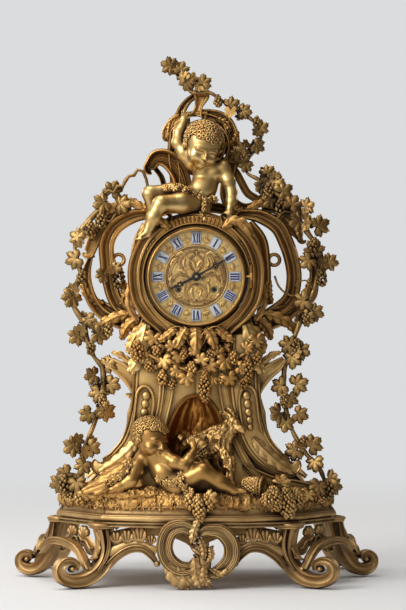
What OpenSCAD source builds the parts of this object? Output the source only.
/* [Base] */
// Half of the plinth's width at its back
plinth_half_w = 180; // [176:1:184]
// Height of the plinth's underside above the table
plinth_z = 80; // [78:1:82]
// Top of the plinth, where the ground casting rests
plinth_top = 104; // [104:1:104]
// How far the plinth's front bows out
plinth_bow = 22; // [18:1:24]

/* [Case] */
// Height at which the case stands on the ground casting
case_z = 118; // [118:1:118]
// Half width of the waist
waist_half_w = 84; // [82:1:86]
// Depth of the wall of the case
wall = 5; // [4:0.5:6]
// Outer radius of the drum that holds the movement
drum_r = 66; // [66:0.5:67]
// Inner radius of the drum
drum_bore = 62; // [62:0.5:62]

/* [Dial] */
// Height of the dial's centre above the table
dial_z = 391; // [391:1:391]
// Radius of the ring of numerals
numeral_ring_r = 49.5; // [49:0.5:50]
// Radius of the dial glass
glass_r = 60; // [60:0.5:61]
// Width of one enamel plaque
plaque_w = 14; // [12:0.5:15]
// Height of one enamel plaque
plaque_h = 17; // [15:0.5:18]
// Length of the minute hand from the centre
minute_len = 52; // [48:1:54]
// Length of the hour hand from the centre
hour_len = 40; // [36:1:42]
// Angle of the minute hand past twelve, clockwise
minute_angle = 60; // [0:1:359]
// Angle of the hour hand past twelve, clockwise
hour_angle = 245; // [0:1:359]

/* [Movement] */
// Radius of the two round movement plates
plate_r = 50; // [49:0.5:51]
// Sideways place of each winding arbor
arbor_x = 22.7; // [22.7:0.1:22.7]
// Drop of the winding arbors below the dial's centre
arbor_drop = 16.4; // [16.4:0.1:16.4]
// Radius of a winding arbor
arbor_r = 2.5; // [2.4:0.1:2.6]
// Across the flats of a winding square
square_w = 4; // [3.5:0.1:4.2]
// Length of the pendulum from its hinge to the middle of the bob
pendulum_len = 172.6; // [168:0.1:174]
// Height of the pendulum's hinge above the dial's centre
anchor_rise = 30; // [30:1:30]
// Radius of the bob
bob_r = 22; // [18:1:24]
// Radial play of a turning shaft in its hole
play = 0.05; // [0.02:0.01:0.08]

/* [Hidden] */

gilt = "goldenrod";
burnished = "gold";
brass = "khaki";
steel = "dimgray";

// Depths, from the front of the clock to its back
bezel_front = -84;
bezel_back = -72;
dial_front = -70;
dial_back = -68;
plate_front = [-58, -56];
plate_back = [-18, -16];
drum_front = -71;
drum_back = 52;
door_back = 54;
case_front = -62;
case_rear = 52;

// Gear trains: tooth counts and modules
great_n = 84;
great_m = 0.5833;
leaf_n = 12;
centre_n = 96;
centre_m = 0.34;
third_leaf_n = 10;
third_n = 90;
third_m = 0.32;
escape_leaf_n = 8;
cannon_n = 24;
minute_n = 72;
minute_m = 0.35;
minute_leaf_n = 16;
hour_n = 64;
hour_m = 0.42;
pin_n = 72;
pin_m = 0.3;
fly_leaf_n = 8;

function pair_distance(a, b, m) = (a + b) * m / 2;
function polar(r, a) = [r * cos(a), r * sin(a)];

// Places in the plane of the dial, from the dial's centre
going_at = [arbor_x, -arbor_drop];
strike_at = [-arbor_x, -arbor_drop];
escape_at = [0, 17.5];
third_d = pair_distance(centre_n, third_leaf_n, centre_m);
escape_d = pair_distance(third_n, escape_leaf_n, third_m);
third_z = (third_d * third_d - escape_d * escape_d + escape_at[1] * escape_at[1]) / (2 * escape_at[1]);
third_at = [sqrt(third_d * third_d - third_z * third_z), third_z];
minute_wheel_at = polar(pair_distance(cannon_n, minute_n, minute_m), 150);
pin_angle = 80;
pin_at = strike_at + polar(pair_distance(great_n, leaf_n, great_m), pin_angle);
fly_angle = 170;
fly_at = pin_at + polar(pair_distance(pin_n, fly_leaf_n, pin_m), fly_angle);
anchor_at = [0, anchor_rise];
hammer_at = [-42, 6];
pillar_angles = [15, 75, 150, 270];
pillar_ring_r = 44;

function heading(from, to) = atan2(to[1] - from[1], to[0] - from[0]);

// Half widths of a tooth at its root, pitch line and tip, as shares of the pitch
wheel_tooth = [0.31, 0.22, 0.13];
leaf_tooth = [0.17, 0.2, 0.1];
fine_leaf_tooth = [0.14, 0.18, 0.08];

// An open cubic through hand-placed points, with three steps to a stretch
function between(a, b, c, d, t) =
    0.5 * (2 * b + (c - a) * t + (2 * a - 5 * b + 4 * c - d) * t * t + (3 * b - a - 3 * c + d) * t * t * t);
function at(p, i) = p[max(0, min(len(p) - 1, i))];
function smooth_line(p, steps = 3) = concat(
    [for (i = [0:len(p) - 2], s = [0:steps - 1]) between(at(p, i - 1), p[i], p[i + 1], at(p, i + 2), s / steps)],
    [p[len(p) - 1]]);

// Both edges of a ribbon whose points are [across, up, half width]
function side_of(p, i) =
    let (a = at(p, i - 1), b = at(p, i + 1), d = [b[0] - a[0], b[1] - a[1]])
    [-d[1], d[0]] / norm(d);
function ribbon_edge(p, s) = [for (i = [0:len(p) - 1]) [p[i][0], p[i][1]] + s * p[i][2] * side_of(p, i)];
function reversed(p) = [for (i = [len(p) - 1:-1:0]) p[i]];
module ribbon(points, steps = 3) {
    line = smooth_line(points, steps);
    polygon(concat(ribbon_edge(line, 1), reversed(ribbon_edge(line, -1))));
}

// An outline of [x, z] points made solid from the depth y0 to the depth y1
module slab(y0, y1) {
    translate([0, y1, 0]) rotate([90, 0, 0]) linear_extrude(y1 - y0) children();
}
// A round bar along the depth, at a place given from the dial's centre
module bar(p, r, y0, y1) {
    translate([p[0], y0, dial_z + p[1]]) rotate([-90, 0, 0]) cylinder(r = r, h = y1 - y0, $fn = 48);
}
module at_dial(p = [0, 0]) {
    translate([p[0], 0, dial_z + p[1]]) children();
}

function tooth_points(n, m, shares, phase) = [
    for (i = [0:n - 1], k = [-1, 1])
        each [for (j = (k < 0 ? [0:2] : [2:-1:0])) polar(n * m / 2 + m * [-1, 0, 0.7][j],
            phase + (i + k * shares[j]) * 360 / n)]];
function wheel_points(n, m, shares, phase) = [
    for (i = [0:n - 1], k = [-1, 1])
        each [for (j = (k < 0 ? [0, 2] : [2, 0])) polar(n * m / 2 + m * [-1, 0, 0.7][j],
            phase + (i + k * shares[j]) * 360 / n)]];
// A toothed wheel with a tooth in the direction phase, crossed out with four openings
module toothed_wheel(n, m, p, phase, y0, y1, hole, spoked = true) {
    r = n * m / 2;
    at_dial(p) slab(y0, y1) difference() {
        polygon(wheel_points(n, m, wheel_tooth, phase));
        circle(r = hole, $fn = 48);
        if (spoked) for (a = [45:90:315]) rotate(a) translate([r * 0.52, 0]) circle(r = r * 0.27, $fn = 32);
    }
}
// A pinion with a gap in the direction phase
module pinion(n, m, p, phase, y0, y1, hole = 0, shares = leaf_tooth) {
    at_dial(p) slab(y0, y1) difference() {
        polygon(tooth_points(n, m, shares, phase + 180 / n));
        if (hole > 0) circle(r = hole, $fn = 48);
    }
}

// Figures, stems and fruit, built from balls joined two by two
module ball(p, r, sides = 8) {
    translate(p) sphere(r = r, $fn = sides);
}
// Points are [x, y, z, radius]
module limb(points, sides = 8) {
    for (i = [0:len(points) - 2]) hull() {
        ball([points[i][0], points[i][1], points[i][2]], points[i][3], sides);
        ball([points[i + 1][0], points[i + 1][1], points[i + 1][2]], points[i + 1][3], sides);
    }
}
function stem(points, y, r) = [for (p = smooth_line(points, 2)) [p[0], y, p[1], r]];
// A five-lobed vine leaf, its stalk at the origin and its tip along +Z
leaf_outline = [[0, -2], [5, -6], [10, -2], [7, 3], [12, 8], [5, 10], [0, 17],
    [-5, 10], [-12, 8], [-7, 3], [-10, -2], [-5, -6]];
module leaf(p, y, size, turn) {
    translate([p[0], y, p[1]]) rotate([0, turn, 0]) rotate([78, 0, 0])
        linear_extrude(2, center = true) scale(size) polygon(leaf_outline);
}
// A hanging bunch of grapes
module bunch(p, y, r, drop) {
    hull() {
        ball([p[0], y, p[1]], r);
        ball([p[0], y, p[1] - drop], r * 0.4);
    }
}

// The plan of the base, drawn in by a margin
function plan(inset) = concat(
    [[-plinth_half_w + inset, 100 - inset], [-plinth_half_w + inset, -30 + inset * 0.6]],
    [for (i = [0:10]) let (t = i / 5 - 1) [t * (120 - inset * 0.6), -100 - plinth_bow * (1 - t * t) + inset]],
    [[plinth_half_w - inset, -30 + inset * 0.6], [plinth_half_w - inset, 100 - inset]]);
module plan_layer(z0, z1, inset) {
    translate([0, 0, z0]) linear_extrude(z1 - z0) polygon(plan(inset));
}

// A scrolled foot, in the plane that it splays in: a path of [out, up, half width] and the boss of its volute
front_foot_line = [[6, 74, 11], [0, 58, 10], [-2, 40, 9], [10, 20, 8], [34, 6, 7], [58, 7, 6], [70, 20, 5], [60, 30, 3]];
side_foot_line = [[-2, 74, 10], [11, 56, 12], [15, 38, 9], [24, 18, 6], [41, 5, 6.5], [56, 11, 5], [56, 24, 3]];
foot_depth = 24;
module foot(p, turn, line, boss) {
    translate([p[0], p[1], 0]) rotate([0, 0, turn]) intersection() {
        rotate([90, 0, 0]) linear_extrude(foot_depth, center = true) union() {
            ribbon(line);
            translate([boss, 20]) circle(r = 10, $fn = 40);
            polygon([[-14, plinth_z], [20, plinth_z], [20, 58], [2, 50], [-12, 62]]);
        }
        translate([-60, -30, 0]) cube([160, 60, plinth_z]);
    }
}
front_foot_turn = 28;
side_foot_turn = 22;
back_foot_turn = 37;
module front_feet() color(gilt) {
    foot([112, -91.5], -front_foot_turn, front_foot_line, 62);
    foot([-112, -91.5], front_foot_turn - 180, front_foot_line, 62);
}
module side_feet() color(gilt) {
    foot([176, 2], side_foot_turn, side_foot_line, 50);
    foot([-176, 2], 180 - side_foot_turn, side_foot_line, 50);
}
module back_feet() color(gilt) {
    foot([166, 91], back_foot_turn, side_foot_line, 47);
    foot([-166, 91], 180 - back_foot_turn, side_foot_line, 47);
}
// Openwork arches between the feet: two scrolled arches and a straight upper rail
module arch_outline(half_span, knob) {
    ribbon([[-half_span, 66, 6], [-half_span * 0.8, 52, 6], [-half_span * 0.5, 46, 5],
        [-half_span * 0.2, 56, 5], [0, 60, 6], [half_span * 0.2, 56, 5], [half_span * 0.5, 46, 5],
        [half_span * 0.8, 52, 6], [half_span, 66, 6]]);
    for (s = [-1, 1]) translate([s * half_span * 0.38, 42]) circle(r = knob, $fn = 32);
    for (x = [-1:0.25:1]) translate([x * half_span * 0.92 - 3, 50]) square([6, plinth_z - 50]);
    translate([-half_span, plinth_z - 8]) square([half_span * 2, 8]);
}
module front_apron() color(gilt) {
    slab(-114, -106) arch_outline(92, 6);
}
module cartouche() color(gilt) {
    slab(-132, -114.2) union() {
        ribbon([[-48, 66, 5], [-50, 48, 7], [-34, 32, 6], [-16, 44, 6], [-20, 60, 4]]);
        ribbon([[52, 62, 5], [50, 44, 7], [34, 30, 6], [18, 42, 6], [22, 58, 4]]);
        ribbon([[-34, 32, 6], [-12, 14, 7], [0, 4.5, 4], [14, 12, 7], [34, 30, 6]]);
        ribbon([[-26, 70, 6], [0, 62, 10], [28, 70, 6]]);
        translate([0, 38]) circle(r = 14, $fn = 40);
        translate([-5, 50]) square([10, 16]);
        translate([-4, 10]) square([8, 20]);
    }
}
module side_aprons() color(gilt) {
    for (s = [-1, 1]) translate([s * 150, -58, 0]) rotate([0, 0, s * 47]) rotate([90, 0, 0])
        linear_extrude(8, center = true) arch_outline(27, 5);
    for (s = [-1, 1]) translate([s * 170, 46, 0]) rotate([0, 0, s * 90]) rotate([90, 0, 0])
        linear_extrude(8, center = true) arch_outline(22, 5);
    slab(84, 92) arch_outline(126, 6);
}
module plinth() color(gilt) difference() {
    union() {
        plan_layer(plinth_z, plinth_z + 5, 4);
        plan_layer(plinth_z + 5, plinth_z + 11, 0);
        plan_layer(plinth_z + 11, plinth_z + 20, 7);
        plan_layer(plinth_z + 20, plinth_top, 4);
    }
    plan_layer(plinth_z - 1, plinth_top + 1, 20);
    for (x = [-150, 150]) translate([x, 92, plinth_z - 1]) cylinder(r = 2, h = 30, $fn = 32);
}
module ground() color(gilt) difference() {
    union() {
        plan_layer(plinth_top, case_z - 6, 8);
        plan_layer(case_z - 6, case_z, 16);
    }
    plan_layer(plinth_top - 1, case_z - 8, 26);
}

// The case: [half width, height] up its side, from the ground to the drum
case_side = [[142, 118], [138, 128], [124, 142], [104, 156], [90, 176], [waist_half_w, 204],
    [waist_half_w - 1, 250], [waist_half_w, 290], [74, 330], [60, 352]];
function case_outline(inset) = concat(
    [for (p = case_side) [p[0] - inset, p[1]]], [for (p = reversed(case_side)) [inset - p[0], p[1]]]);
niche_half_w = 44;
niche_top = 235;
niche_back = -26;
module niche_outline(grow) {
    hull() {
        translate([-niche_half_w - grow, case_z]) square([2 * (niche_half_w + grow), 1]);
        translate([0, niche_top - niche_half_w]) circle(r = niche_half_w + grow, $fn = 64);
    }
}
module case_body() color(gilt) difference() {
    slab(case_front, case_rear - 3) polygon(case_outline(0));
    slab(case_front + wall, case_rear) intersection() {
        polygon(case_outline(wall));
        translate([-200, case_z + wall]) square([400, 300]);
    }
    slab(case_front - 1, niche_back + 3.1) niche_outline(3.1);
    bar([0, 0], drum_r + 0.1, case_front - 1, case_rear + 1);
    case_screw_holes(1.55);
}
case_screw_at = [[-112, 136], [112, 136], [-76, 240], [76, 240]];
module case_screw_holes(r) {
    for (p = case_screw_at) translate([p[0], case_rear - 16, p[1]]) rotate([-90, 0, 0])
        cylinder(r = r, h = 20, $fn = 32);
}
module case_back() color(gilt) difference() {
    slab(case_rear - 3, case_rear) polygon(case_outline(0.5));
    bar([0, 0], drum_r + 0.1, case_rear - 4, case_rear + 1);
    case_screw_holes(1.6);
}
module niche() color(gilt) difference() {
    slab(case_front, niche_back + 3) niche_outline(3);
    slab(case_front - 1, niche_back) niche_outline(0);
}
module pilaster(s) {
    slab(-80, case_front - 0.1) union() {
        ribbon([[s * 122, 148, 12], [s * 104, 158, 12], [s * 86, 178, 13], [s * 76, 206, 13],
            [s * 70, 240, 14], [s * 68, 276, 15], [s * 62, 306, 10]]);
        translate([s * 124, 142]) circle(r = 13, $fn = 40);
    }
    slab(-86, -80) union() {
        translate([s * 69, 236]) circle(r = 9, $fn = 40);
        translate([s * 70 - 5, 210]) square([10, 22]);
    }
}
module pilaster_left() color(gilt) pilaster(-1);
module pilaster_right() color(gilt) pilaster(1);
module waist_swag() color(burnished) difference() {
    union() {
        limb([for (t = [-1:0.25:1]) [t * 72, -76, 298 - 30 * (1 - t * t), 8 + 5 * (1 - t * t)]]);
        bunch([2, 266], -80, 13, 32);
        for (t = [-0.8:0.4:0.8]) leaf([t * 66, 294 - 26 * (1 - t * t)], -88, 1, 180 + t * 30);
    }
    for (s = [-1, 1]) pilaster(s);
    slab(case_front - 0.1, 0) square([400, 1200], center = true);
    slab(-80.1, case_front) translate([0, dial_z]) circle(r = 98, $fn = 96);
}
module case_screws() color(steel) {
    for (p = case_screw_at) {
        translate([p[0], case_rear - 14, p[1]]) rotate([-90, 0, 0]) cylinder(r = 1.5, h = 14, $fn = 32);
        translate([p[0], case_rear, p[1]]) rotate([-90, 0, 0]) cylinder(r = 3.5, h = 2, $fn = 32);
    }
}

// The drum, with a slot below for the pendulum
module drum_case() color(brass) difference() {
    bar([0, 0], drum_r, drum_front, drum_back);
    bar([0, 0], drum_bore, drum_front - 1, drum_back + 1);
    translate([-24, -20, dial_z - drum_r - 2]) cube([48, 20, 20]);
}
surround_ring = [for (a = [0:10:350]) polar(79 + 4 * cos(4 * a), a)];
module dial_surround() color(gilt) difference() {
    slab(-80, case_front - 0.2) translate([0, dial_z]) difference() {
        union() {
            polygon(surround_ring);
            for (a = [48, 62, 118, 132]) translate(polar(84, a)) circle(r = 11, $fn = 40);
            for (a = [244, 257, 270, 283, 296]) translate(polar(86, a)) circle(r = 11, $fn = 40);
        }
        circle(r = drum_r + 0.3, $fn = 96);
    }
    translate([66, -90, dial_z - 17]) cube([9, 30, 34]);
}

// The pairs of C-scrolls at either side of the drum
module scroll_set(s, out) {
    slab(-46, -20) union() {
        ribbon([[s * 66, 462, 5], [s * 78, 474, 6], [s * (104 + out), 456, 8], [s * (122 + out), 424, 9],
            [s * (118 + out), 382, 8], [s * 104, 350, 7], [s * 86, 334, 6]]);
        translate([s * 74, 466]) circle(r = 9, $fn = 40);
        translate([s * 92, 336]) circle(r = 9, $fn = 40);
        ribbon([[s * (142 + out), 396, 3], [s * (142 + out), 372, 5], [s * 130, 344, 6], [s * 112, 322, 5],
            [s * 88, 318, 5]]);
        translate([s * (124 + out / 2), 364]) circle(r = 12, $fn = 40);
        difference() {
            translate([s * 100, dial_z + 22]) circle(r = 9.5, $fn = 40);
            translate([s * 100, dial_z + 22]) circle(r = 4.5, $fn = 40);
        }
        translate([s * 115, dial_z + 22]) square([14, 6], center = true);
        translate([s * 78, dial_z + 22]) square([27, 6], center = true);
    }
}
module clear_of_drum() {
    difference() {
        children();
        bar([0, 0], drum_r + 0.1, -70, 60);
        slab(case_front - 1, case_rear + 1) polygon(case_outline(-0.1));
    }
}
module scroll_left() color(gilt) clear_of_drum() scroll_set(-1, 0);
module scroll_right() color(gilt) clear_of_drum() scroll_set(1, 6);
module crest() color(gilt) difference() {
    slab(-22, -4) difference() {
        union() {
            ribbon([[-66, 516, 5], [-62, 540, 8], [-38, 552, 9], [-16, 532, 9]]);
            ribbon([[72, 494, 6], [62, 510, 7], [44, 516, 8], [26, 500, 9]]);
            polygon([[-38, 462], [-30, 500], [-28, 560], [-38, 582], [-22, 592], [-16, 612], [3, 628],
                [22, 618], [34, 600], [36, 570], [30, 530], [36, 500], [42, 462]]);
        }
        translate([16, 600]) circle(r = 8, $fn = 32);
        translate([-8, 604]) circle(r = 4, $fn = 32);
        translate([64, 506]) circle(r = 3.5, $fn = 32);
        translate([0, dial_z]) circle(r = drum_r + 6, $fn = 96);
    }
}

// The seated child on top of the drum
module putto_upper() color(burnished) difference() {
    union() {
        ball([8, -52, 559], 25, 12);
        limb([[12, -46, 538, 14], [14, -44, 520, 21], [10, -44, 492, 24]], 10);
        limb([[-8, -46, 538, 10], [-24, -44, 562, 9], [-15, -36, 594, 7]]);
        limb([[36, -46, 530, 10], [44, -50, 500, 9], [42, -56, 470, 7]]);
        limb([[0, -46, 486, 17], [-34, -66, 496, 15], [-64, -84, 496, 11], [-66, -92, 468, 9],
            [-72, -92, 448, 7], [-84, -98, 444, 5]]);
        limb([[14, -46, 482, 17], [-18, -80, 488, 14], [-46, -98, 486, 11], [-50, -100, 464, 8],
            [-60, -106, 444, 6]]);
    }
    bar([0, 0], drum_r + 0.5, -110, 60);
    slab(-80.2, case_front) translate([0, dial_z]) circle(r = 98, $fn = 96);
    slab(-22.1, 0) square([300, 1400], center = true);
}
// The reclining child and the kid goat in the niche
module putto_lower() color(burnished) difference() {
    union() {
        ball([-59, -94, 186], 23, 12);
        limb([[-54, -94, 166, 12], [-44, -96, 150, 19], [-20, -96, 136, 20]], 10);
        limb([[-64, -98, 158, 9], [-84, -100, 146, 8], [-92, -104, 130, 7]]);
        limb([[-36, -100, 160, 9], [-22, -108, 146, 8], [-10, -110, 152, 7]]);
        limb([[-16, -98, 134, 15], [6, -100, 152, 12], [18, -104, 130, 8], [30, -108, 124, 6]]);
        limb([[-16, -104, 130, 14], [12, -112, 130, 11], [40, -112, 124, 7], [54, -112, 124, 6]]);
        limb([[-128, -88, 150, 9], [-110, -94, 140, 16], [-84, -98, 132, 16], [-56, -100, 128, 14]]);
    }
    translate([-200, -200, 0]) cube([400, 400, case_z]);
    slab(-80.1, 0) square([400, 800], center = true);
    for (s = [-1, 1]) pilaster(s);
}
module goat() color(burnished) difference() {
    union() {
        limb([[6, -60, 152, 14], [28, -60, 150, 14], [34, -62, 144, 12]], 10);
        limb([[32, -64, 158, 10], [36, -68, 178, 8]]);
        limb([[34, -68, 190, 9], [46, -70, 184, 6]]);
        limb([[30, -66, 198, 3], [18, -64, 201, 3], [10, -64, 192, 2]], 6);
        limb([[6, -62, 144, 6], [0, -64, 124, 4]], 6);
        limb([[34, -66, 140, 6], [40, -68, 122, 4]], 6);
        limb([[20, -62, 144, 10], [18, -64, 124, 6]], 6);
    }
    translate([-200, -200, 0]) cube([400, 400, case_z]);
    slab(case_front - 0.1, 40) difference() {
        square([400, 800], center = true);
        niche_outline(-0.2);
    }
    slab(-100, -80) square([400, 800], center = true);
}
module basket() color(gilt) {
    translate([72, -92, case_z + 11]) rotate([0, 90, -20]) difference() {
        cylinder(r = 11, h = 26, center = true, $fn = 48);
        translate([0, 0, 2]) cylinder(r = 9, h = 26, center = true, $fn = 48);
    }
}
module ground_fruit() color(burnished) difference() {
    union() {
        bunch([104, 116], -106, 17, 26);
        bunch([124, 106], -98, 12, 14);
        bunch([2, 112], -125, 10, 24);
        bunch([-164, 112], -56, 11, 14);
        for (s = [-1, 1]) leaf([s * 156, 116], -62, 1.1, s * 130);
    }
    plan_layer(plinth_z - 10, plinth_top, -0.1);
    plan_layer(plinth_top, case_z, 7.9);
    slab(case_front - 0.1, 100) polygon(case_outline(-0.1));
    translate([72, -92, case_z + 11]) rotate([0, 90, -20]) cylinder(r = 11.2, h = 26.4, center = true, $fn = 48);
}

// Vines with leaves and bunches, cast as branches and pinned to the scrolls
vine_left_line = [[-112, 484], [-127, 476], [-156, 439], [-152, 408], [-159, 361], [-144, 333], [-131, 290],
    [-120, 262], [-122, 233], [-130, 200], [-142, 176], [-144, 150], [-152, 128]];
vine_left_leaves = [[-108, 498, 30], [-118, 484, 260], [-150, 440, 60], [-153, 412, 250], [-156, 361, 200],
    [-140, 326, 120], [-122, 306, 80], [-114, 276, 60], [-132, 256, 220], [-110, 248, 120], [-136, 212, 230],
    [-116, 208, 100], [-152, 174, 250], [-134, 168, 100], [-160, 140, 230], [-170, 130, 260]];
vine_right_line = [[98, 500], [127, 471], [158, 423], [150, 374], [133, 336], [124, 310], [114, 278],
    [116, 233], [118, 205], [126, 184], [138, 166], [156, 148], [160, 128]];
vine_right_leaves = [[100, 510, 330], [124, 486, 60], [140, 476, 100], [158, 452, 60], [146, 410, 250],
    [168, 408, 90], [140, 361, 250], [146, 344, 120], [120, 302, 260], [132, 296, 90], [114, 262, 250],
    [128, 250, 90], [110, 216, 250], [132, 210, 80], [116, 196, 200], [146, 168, 70], [166, 132, 120],
    [172, 124, 160]];
vine_top_line = [[-32, 660], [-18, 652], [-10, 636], [8, 630], [18, 628], [44, 610], [62, 600], [82, 574],
    [76, 556], [66, 534], [66, 524], [92, 508], [98, 500]];
vine_top_leaves = [[-22, 654, 300], [8, 640, 10], [44, 612, 60], [84, 584, 60], [74, 552, 90], [64, 540, 250],
    [88, 516, 60]];
// The point of a stem that is nearest to a leaf or a bunch
function nearest(line, p) =
    let (d = [for (q = line) norm([q[0] - p[0], q[1] - p[1]])])
    line[search(min(d), d)[0]];
module vine(line, leaves, bunches, y) {
    fine = smooth_line(line, 2);
    limb(stem(line, y, 3), 6);
    for (p = concat(leaves, bunches)) {
        q = nearest(fine, p);
        limb([[q[0], y, q[1], 2], [p[0], y - 3, p[1], 2]], 4);
    }
    for (p = leaves) leaf(p, y - 3, 0.9, p[2]);
    for (p = bunches) bunch(p, y - 6, 9, 16);
}
module clear_of_case() {
    difference() {
        children();
        translate([-300, -300, 0]) cube([600, 600, case_z]);
    }
}
module vine_left() color(gilt) clear_of_case()
    vine(vine_left_line, vine_left_leaves, [[-146, 300], [-110, 330], [-150, 250]], -54);
module vine_right() color(gilt) clear_of_case()
    vine(vine_right_line, vine_right_leaves, [[150, 400], [124, 380], [126, 240]], -54);
module vine_top() color(gilt) vine(vine_top_line, vine_top_leaves, [[28, 624], [76, 594], [62, 552]], -28);

// Dial
module dial_plate() color(gilt) {
    difference() {
        union() {
            bar([0, 0], drum_bore - 0.1, dial_front, dial_back);
            bar([0, 0], drum_bore - 0.1, dial_front - 1.4, dial_front);
        }
        bar([0, 0], 36, dial_back - 8, dial_front + 8);
        bar([0, 0], 58.5, dial_front - 3, dial_front);
    }
    for (a = [45, 200, 330]) bar(polar(47, a), 2.5, dial_back, plate_front[0]);
}
module dial_centre() color(burnished) difference() {
    bar([0, 0], 35.9, dial_front - 0.8, dial_back);
    bar([0, 0], 3.6, dial_front - 3, dial_back + 3);
    for (s = [-1, 1]) bar([s * arbor_x, -arbor_drop], 4.3, dial_front - 3, dial_back + 3);
}
plaque_t = 1.2;
plaque_ring_r = numeral_ring_r - 2;
// The enamel shows inside a gilt rim that hides a tenth of the plaque
plaque_shown = 0.45;
function plaque_outline() = [for (a = [0:15:345]) [plaque_w * plaque_shown * cos(a) * (1 - 0.1 * pow(sin(2 * a), 2)),
    plaque_h * plaque_shown * sin(a) * (1 + 0.05 * pow(sin(2 * a), 2))]];
module numeral_plaques() color("white") {
    for (i = [0:11]) at_dial() rotate([0, i * 30, 0])
        slab(dial_front - plaque_t, dial_front) translate([0, plaque_ring_r]) polygon(plaque_outline());
}
// Each Roman numeral as strokes: [kind, place across]; kind 0 is an I, 1 a V and 2 an X
function strokes(i) = [
    [[2, -1.5], [0, 1], [0, 2.4]],
    [[0, 0]], [[0, -1], [0, 1]], [[0, -1.6], [0, 0], [0, 1.6]],
    [[0, -2.6], [0, -0.9], [0, 0.9], [0, 2.6]],
    [[1, 0]], [[1, -1], [0, 1.8]], [[1, -1.6], [0, 1], [0, 2.6]],
    [[1, -2.2], [0, 0.4], [0, 1.8], [0, 3.2]],
    [[0, -1.8], [2, 1]], [[2, 0]], [[2, -1], [0, 1.8]]][i];
module stroke(kind) {
    if (kind == 0) square([0.8, 7], center = true);
    if (kind == 1) polygon([[-1.8, 3.5], [-0.9, 3.5], [0, -1.4], [0.9, 3.5], [1.8, 3.5], [0.3, -3.5], [-0.3, -3.5]]);
    if (kind == 2) for (a = [-22, 22]) rotate(a) square([0.8, 7.4], center = true);
}
module numerals() color("navy") {
    for (i = [0:11]) at_dial() rotate([0, i * 30, 0])
        slab(dial_front - plaque_t - 0.3, dial_front - plaque_t) translate([0, plaque_ring_r])
            for (s = strokes(i)) translate([s[1], 0]) stroke(s[0]);
}
module hour_hand() color(steel) at_dial() rotate([0, hour_angle, 0]) difference() {
    slab(-74.4, -73.6) difference() {
        union() {
            circle(r = 4.5, $fn = 48);
            translate([-0.9, 3]) square([1.8, 20]);
            translate([0, 25]) circle(r = 3.6, $fn = 48);
            polygon([[-0.9, 28], [0.9, 28], [1.8, 31], [0, hour_len], [-1.8, 31]]);
        }
        translate([0, 25.4]) circle(r = 2.2, $fn = 48);
        circle(r = 2.85, $fn = 48);
    }
}
module minute_hand() color(steel) at_dial() rotate([0, minute_angle, 0]) {
    slab(-76.4, -75.6) difference() {
        union() {
            circle(r = 3.6, $fn = 48);
            translate([-0.8, 2]) square([1.6, 28]);
            for (p = [[0, 30], [-2.6, 27], [2.6, 27]]) translate(p) circle(r = 1.9, $fn = 32);
            polygon([[-0.8, 30], [0.8, 30], [0.5, minute_len], [-0.5, minute_len]]);
        }
        circle(r = 1.5, $fn = 48);
    }
    slab(-78.4, -76) difference() {
        circle(r = 2.4, $fn = 48);
        circle(r = 1.5, $fn = 48);
    }
}
// The glazed bezel hinges at its right
hinge_x = 70;
hinge_y = -80;
pin_r = 1.2;
module knuckles(x, y, z0, step, count, first) {
    for (i = [first:2:count - 1]) translate([x, y, z0 + i * step + 0.2]) difference() {
        cylinder(r = 2.8, h = step - 0.4, $fn = 40);
        translate([0, 0, -1]) cylinder(r = pin_r + (first == 0 ? 0 : play), h = step + 2, $fn = 40);
    }
}
module bezel() color(gilt) {
    difference() {
        union() {
            bar([0, 0], drum_r, bezel_back - 4, bezel_back);
            bar([0, 0], drum_r - 2, bezel_front + 3, bezel_back - 4);
            bar([0, 0], drum_r - 4, bezel_front, bezel_front + 3);
            translate([58, hinge_y - 1.2, dial_z - 5]) cube([12, 2.4, 10]);
        }
        bar([0, 0], glass_r - 2, bezel_front - 1, bezel_back + 1);
        bar([0, 0], glass_r, bezel_back - 9, bezel_back + 1);
        translate([hinge_x, hinge_y, dial_z - 6]) cylinder(r = 2, h = 12, $fn = 40);
    }
    knuckles(hinge_x, hinge_y, dial_z - 15, 10, 3, 1);
}
module glass() color("lightcyan", 0.3) bar([0, 0], glass_r, bezel_back - 9, bezel_back - 7);
module bezel_pin() color(steel) {
    translate([hinge_x, hinge_y, dial_z - 15]) cylinder(r = pin_r, h = 30, $fn = 40);
    knuckles(hinge_x, hinge_y, dial_z - 15, 10, 3, 0);
    for (z = [-15, 5]) translate([hinge_x + 0.5, hinge_y, dial_z + z + 0.2]) difference() {
        cube([4.4, 13, 9.6]);
        translate([-0.5, 0, -1]) cylinder(r = 2.7, h = 12, $fn = 40);
    }
}
back_hinge_x = -64;
back_hinge_y = 57;
module back_door() color(brass) {
    difference() {
        union() {
            bar([0, 0], drum_r - 4, drum_back + 0.2, door_back);
            translate([back_hinge_x + 1, drum_back + 0.2, dial_z - 5]) cube([14, 1.8, 10]);
        }
        translate([back_hinge_x, back_hinge_y, dial_z - 6]) cylinder(r = 2, h = 12, $fn = 40);
        for (a = [0:45:315]) bar(polar(30, a), 4, drum_back - 1, door_back + 1);
    }
    knuckles(back_hinge_x, back_hinge_y, dial_z - 15, 10, 3, 1);
    translate([back_hinge_x + 1.6, door_back - 1, dial_z - 4.8]) cube([2, 3, 9.6]);
    bar([54, 0], 3, door_back, door_back + 6);
}
module back_door_pin() color(steel) {
    translate([back_hinge_x, back_hinge_y, dial_z - 15]) cylinder(r = pin_r, h = 30, $fn = 40);
    knuckles(back_hinge_x, back_hinge_y, dial_z - 15, 10, 3, 0);
    for (z = [-15, 5]) difference() {
        translate([back_hinge_x - 2.4, drum_back, dial_z + z + 0.2]) cube([4, 4, 9.6]);
        translate([back_hinge_x, back_hinge_y, dial_z - 20]) cylinder(r = 2.7, h = 40, $fn = 40);
    }
}

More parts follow.
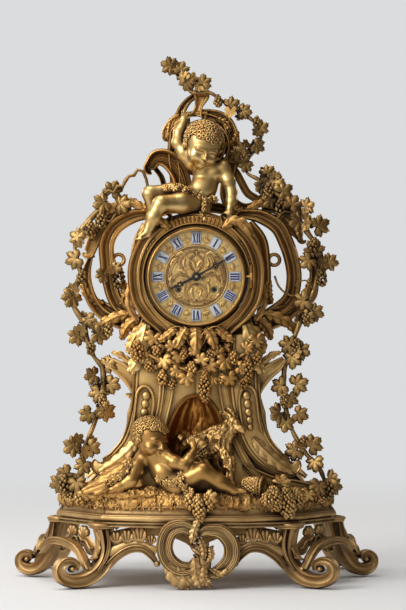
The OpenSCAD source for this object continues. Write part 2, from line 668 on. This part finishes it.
// Movement plates and pillars
module plate(y) {
    bar([0, 0], plate_r, y[0], y[1]);
}
module pivot_holes(y, winding_r, anchor_r) {
    for (p = [going_at, strike_at]) bar(p, winding_r + play, y[0] - 1, y[1] + 1);
    bar([0, 0], 1.5 + play, y[0] - 1, y[1] + 1);
    for (p = [third_at, escape_at, pin_at, fly_at]) bar(p, 0.6 + play, y[0] - 1, y[1] + 1);
    bar(hammer_at, 1 + play, y[0] - 1, y[1] + 1);
    bar(anchor_at, anchor_r + play, y[0] - 1, y[1] + 1);
    for (a = pillar_angles) bar(polar(pillar_ring_r, a), 1.5 + play, y[0] - 1, y[1] + 1);
}
module front_plate() color(brass) {
    difference() {
        plate(plate_front);
        pivot_holes(plate_front, arbor_r, 0.6);
    }
    bar(minute_wheel_at, 1, -65, plate_front[0]);
}
module back_plate() color(brass) difference() {
    plate(plate_back);
    pivot_holes(plate_back, 4, 4);
    bar(bell_foot, 1.5, plate_back[0] - 1, plate_back[1] + 1);
}
module pillars() color(brass) {
    for (a = pillar_angles) {
        bar(polar(pillar_ring_r, a), 2.5, plate_front[1], plate_back[0]);
        bar(polar(pillar_ring_r, a), 1.5, plate_front[0] - 2, plate_back[1] + 2);
        bar(polar(pillar_ring_r, a), 3, plate_back[1], plate_back[1] + 2);
        bar(polar(pillar_ring_r, a), 3, plate_front[0] - 2, plate_front[0]);
    }
}

// Barrels turn on their winding arbors
module barrel_drum(p, y0, y1, pipe_end) {
    at_dial(p) slab(y0, y1) difference() {
        circle(r = 19, $fn = 96);
        circle(r = 17.5, $fn = 96);
    }
    for (y = [y0, y1 - 1]) at_dial(p) slab(y, y + 1) difference() {
        circle(r = 19, $fn = 96);
        circle(r = arbor_r + play, $fn = 48);
    }
    at_dial(p) slab(y1, pipe_end) difference() {
        circle(r = 4 - play, $fn = 48);
        circle(r = arbor_r + play, $fn = 48);
    }
}
module winding_arbor(p) {
    bar(p, arbor_r, plate_front[0] - 4, plate_back[1] - 0.5);
    bar(p, 6, -42, -36);
    translate([p[0] - square_w / 2, -71, dial_z + p[1] - square_w / 2]) cube([square_w, 10, square_w]);
}
going_y = [-55, -53];
strike_y = [-22, -20];
module going_barrel() color(brass) {
    toothed_wheel(great_n, great_m, going_at, heading(going_at, [0, 0]), going_y[0], going_y[1], 17.5, false);
    barrel_drum(going_at, -53, -27, -19);
}
module going_arbor() color(steel) winding_arbor(going_at);
module strike_barrel() color(brass) {
    barrel_drum(strike_at, -52, -27, -12);
    toothed_wheel(great_n, great_m, strike_at, pin_angle, strike_y[0], strike_y[1], 4 - 2 * play, true);
    at_dial(strike_at) slab(-14, -12.5) difference() {
        circle(r = 14, $fn = 72);
        circle(r = 4 - 2 * play, $fn = 48);
        for (a = [0, 20, 50, 90, 140, 200, 270, 350]) rotate(a) translate([12.5, -0.7]) square([3, 1.4]);
    }
}
module strike_arbor() color(steel) winding_arbor(strike_at);

// Going train
module centre_wheel() color(brass) {
    bar([0, 0], 1.5, -60, -15);
    bar([0, 0], 2.4, -52.4, -26);
    pinion(leaf_n, great_m, [0, 0], heading([0, 0], going_at), -55.2, -52.4);
    toothed_wheel(centre_n, centre_m, [0, 0], heading([0, 0], third_at), -26, -24.8, 1.4);
    bar([0, 0], 1.5, -78.4, -60);
}
module cannon_pinion() color(steel) {
    pinion(cannon_n, minute_m, [0, 0], heading([0, 0], minute_wheel_at), -61.8, -60, 1.55, wheel_tooth);
    at_dial() slab(-75.6, -61.8) difference() {
        circle(r = 2, $fn = 48);
        circle(r = 1.55, $fn = 48);
    }
}
module minute_wheel() color(brass) {
    toothed_wheel(minute_n, minute_m, minute_wheel_at, heading(minute_wheel_at, [0, 0]),
        -61.4, -60.4, 1 + play);
    pinion(minute_leaf_n, hour_m, minute_wheel_at, heading(minute_wheel_at, [0, 0]), -64.4, -61.4, 1 + play,
        leaf_tooth);
}
module hour_wheel() color(brass) {
    toothed_wheel(hour_n, hour_m, [0, 0], heading([0, 0], minute_wheel_at), -64, -63, 2 + play);
    at_dial() slab(-74.4, -64) difference() {
        circle(r = 2.8, $fn = 48);
        circle(r = 2 + play, $fn = 48);
    }
}
module arbor(p, y0 = -58, y1 = -16) {
    bar(p, 0.6, y0, y1);
    bar(p, 0.8, plate_front[1] + 0.3, plate_back[0] - 0.3);
}
module third_wheel() color(brass) {
    arbor(third_at);
    pinion(third_leaf_n, centre_m, third_at, heading(third_at, [0, 0]), -27, -24, 0, fine_leaf_tooth);
    toothed_wheel(third_n, third_m, third_at, heading(third_at, escape_at), -23, -22.2, 0.7);
}
escape_n = 40;
escape_r = 8.5;
module escape_wheel() color(brass) {
    arbor(escape_at);
    pinion(escape_leaf_n, third_m, escape_at, heading(escape_at, third_at), -23.8, -21.4, 0, fine_leaf_tooth);
    at_dial(escape_at) slab(-33, -32) polygon([for (i = [0:escape_n - 1])
        let (a = i * 360 / escape_n)
        each [polar(escape_r - 1.4, a), polar(escape_r, a + 4), polar(escape_r - 1.4, a + 4.8)]]);
}
// The anchor's pallets stand just clear of the wheel; its crutch reaches down to the pendulum rod
crutch_drop = 40;
module anchor() color(steel) {
    bar(anchor_at, 0.6, -58, -7.5);
    bar(anchor_at, 1.2, plate_front[1] + 0.3, plate_back[0] - 0.3);
    at_dial(anchor_at) slab(-33, -32) union() {
        circle(r = 2.4, $fn = 32);
        for (s = [-1, 1]) polygon([[0, 1.5], [s * 9, -5], [s * 9.6, -10.5], [s * 8.8, -9], [s * 7.4, -5.4], [0, -1.6]]);
    }
    at_dial(anchor_at) slab(-14.6, -13.6) union() {
        circle(r = 2, $fn = 32);
        translate([-0.8, -crutch_drop]) square([1.6, crutch_drop]);
    }
    for (s = [-1, 1]) translate([s * 1.7 - 0.5, -14.6, dial_z + anchor_rise - crutch_drop]) cube([1, 5, 3]);
    translate([-2.2, -14.6, dial_z + anchor_rise - crutch_drop]) cube([4.4, 1, 3]);
}
module back_cock() color(brass) {
    difference() {
        union() {
            for (s = [-1, 1]) translate([s * 9 - 2.5, plate_back[1], dial_z + anchor_rise - 2]) cube([5, 9, 5]);
            translate([-11.5, -9, dial_z + anchor_rise - 2]) cube([23, 2, 14]);
            translate([-3, -12.6, dial_z + anchor_rise + 6]) cube([6, 4, 6]);
        }
        bar(anchor_at, 0.6 + play, -12, -5);
    }
}
module pendulum() color(brass) {
    rod_y = -11;
    difference() {
        translate([-2, rod_y - 0.5, dial_z + anchor_rise - 1.8]) cube([4, 1, 7.6]);
        bar(anchor_at, 0.8, -12.5, -9);
    }
    translate([-0.8, rod_y - 0.6, dial_z + anchor_rise - pendulum_len + bob_r - 2])
        cube([1.6, 1.2, pendulum_len - bob_r + 1]);
    bar([0, anchor_rise - pendulum_len], bob_r, rod_y - 3.5, rod_y + 3.5);
    translate([0, rod_y, dial_z + anchor_rise - pendulum_len - bob_r - 8]) cylinder(r = 1, h = 9, $fn = 32);
    translate([0, rod_y, dial_z + anchor_rise - pendulum_len - bob_r - 6]) cylinder(r = 3, h = 2.5, $fn = 32);
}

// Striking work
bell_foot = [30, -26];
bell_at = [0, -4];
module bell() color("peru") {
    translate([bell_at[0], 4, dial_z + bell_at[1]]) rotate([-90, 0, 0]) rotate_extrude($fn = 96)
        polygon([[36, 0], [35.5, 8], [32, 16], [24, 22], [12, 25], [1.5, 26], [1.5, 24], [12, 23], [23, 20],
            [30, 15], [33.5, 8], [34.5, 0]]);
    bar(bell_foot, 3, plate_back[1], plate_back[1] + 3);
    bar(bell_foot, 1.5, plate_back[1] - 2, plate_back[1] + 6);
    translate([29, -13, dial_z - 36]) cube([16, 3, 11]);
    translate([42, -13, dial_z - 36]) cube([3, 48, 11]);
    translate([-4, 32, dial_z - 36]) cube([49, 3, 11]);
    translate([-4, 32, dial_z - 36]) cube([8, 3, 38]);
    bar(bell_at, 1.5, 26, 34);
    bar(bell_at, 4, 30, 32);
}
hammer_r = 3.5;
head_at = bell_at + polar(36 + hammer_r + 0.8, 150);
module hammer() color(steel) {
    bar(hammer_at, 1, -58, -10.5);
    at_dial(hammer_at) slab(-12, -10.5) union() {
        circle(r = 2.5, $fn = 32);
        ribbon([[0, 0, 1.4], [head_at[0] - hammer_at[0] - 4, 5, 1.2],
            [head_at[0] - hammer_at[0], head_at[1] - hammer_at[1], 1.2]]);
    }
    bar(head_at, 1.2, -12, 5);
    bar(head_at, hammer_r, 4, 12);
}
module pin_wheel() color(brass) {
    arbor(pin_at);
    pinion(leaf_n, great_m, pin_at, pin_angle + 180, -22.3, -19.7);
    toothed_wheel(pin_n, pin_m, pin_at, fly_angle, -24.2, -23.4, 0.7);
    for (a = [0:45:315]) bar(pin_at + polar(9.5, a), 0.5, -23.6, -22.6);
}
module fly() color(brass) {
    arbor(fly_at);
    pinion(fly_leaf_n, pin_m, fly_at, fly_angle + 180, -25, -22.6, 0, fine_leaf_tooth);
    at_dial(fly_at) slab(-46, -32) square([15, 0.8], center = true);
}

front_feet();
side_feet();
back_feet();
front_apron();
cartouche();
side_aprons();
plinth();
ground();
case_body();
case_back();
niche();
pilaster_left();
pilaster_right();
waist_swag();
case_screws();
drum_case();
dial_surround();
scroll_left();
scroll_right();
crest();
putto_upper();
putto_lower();
goat();
basket();
ground_fruit();
vine_left();
vine_right();
vine_top();
dial_plate();
dial_centre();
numeral_plaques();
numerals();
hour_hand();
minute_hand();
bezel();
glass();
bezel_pin();
back_door();
back_door_pin();
front_plate();
back_plate();
pillars();
going_barrel();
going_arbor();
strike_barrel();
strike_arbor();
centre_wheel();
cannon_pinion();
minute_wheel();
hour_wheel();
third_wheel();
escape_wheel();
anchor();
back_cock();
pendulum();
bell();
hammer();
pin_wheel();
fly();
